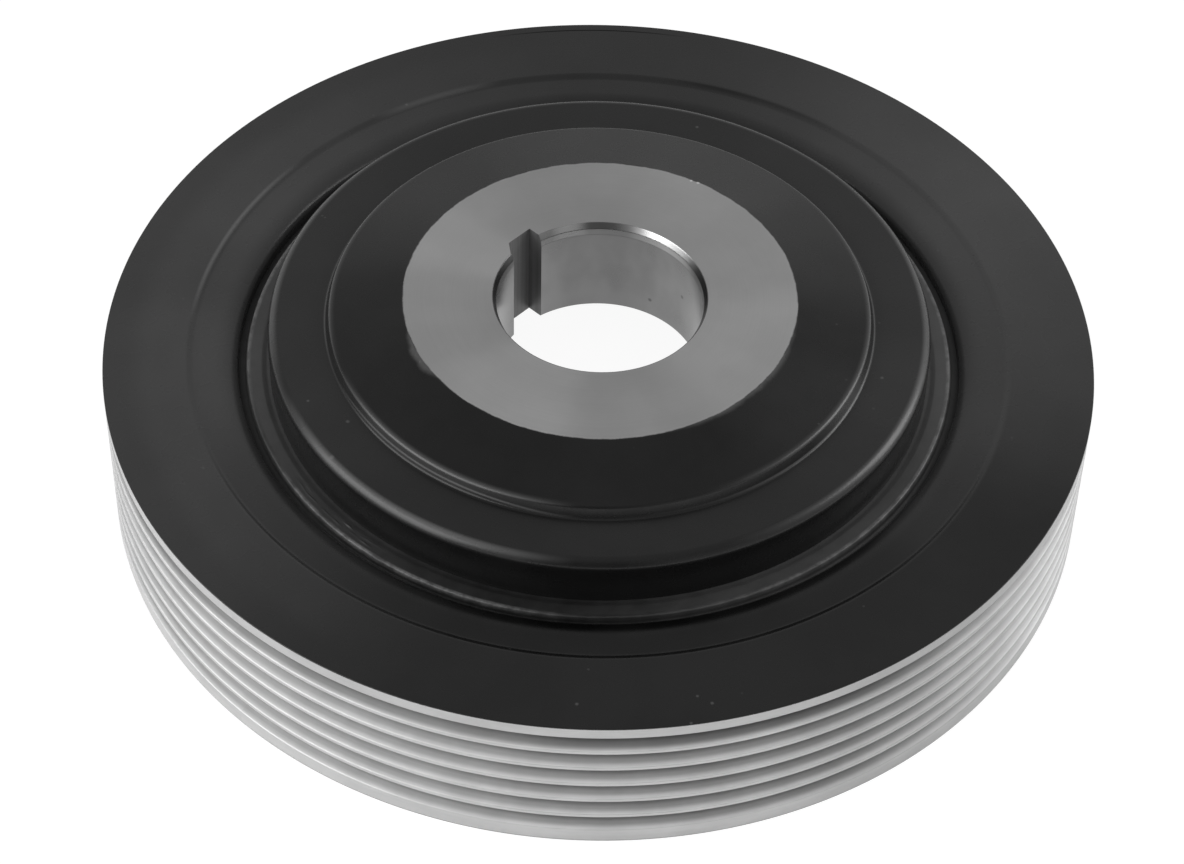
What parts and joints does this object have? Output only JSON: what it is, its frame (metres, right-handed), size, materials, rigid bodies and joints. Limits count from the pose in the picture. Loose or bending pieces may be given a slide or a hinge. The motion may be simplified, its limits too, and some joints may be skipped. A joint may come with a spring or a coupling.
{
  "type": "harmonic balancer",
  "caption": "Crankshaft harmonic balancer: keyed hub with a dished web, a bonded rubber ring and a poly-V belt pulley ring.",
  "frame": {"origin": "centre of the pulley ring's flat rear face, which the part rests on", "axes": "+Z along the crankshaft axis towards the bolt face at the front; +Y from the axis towards the middle of the keyway; +X completes the right-handed frame"},
  "size_m": [0.15, 0.15, 0.0353],
  "materials": {
    "coated_hub": "satin black coating over cast iron, with a bare turned bolt face and bore",
    "rubber": "matt moulded rubber",
    "coated_ring": "satin black coating over cast iron, with a bare turned belt rim"
  },
  "bodies": {
    "root": {"hub": "coated_hub", "rubber_ring": "rubber", "pulley_ring": "coated_ring"}
  },
  "joints": []
}
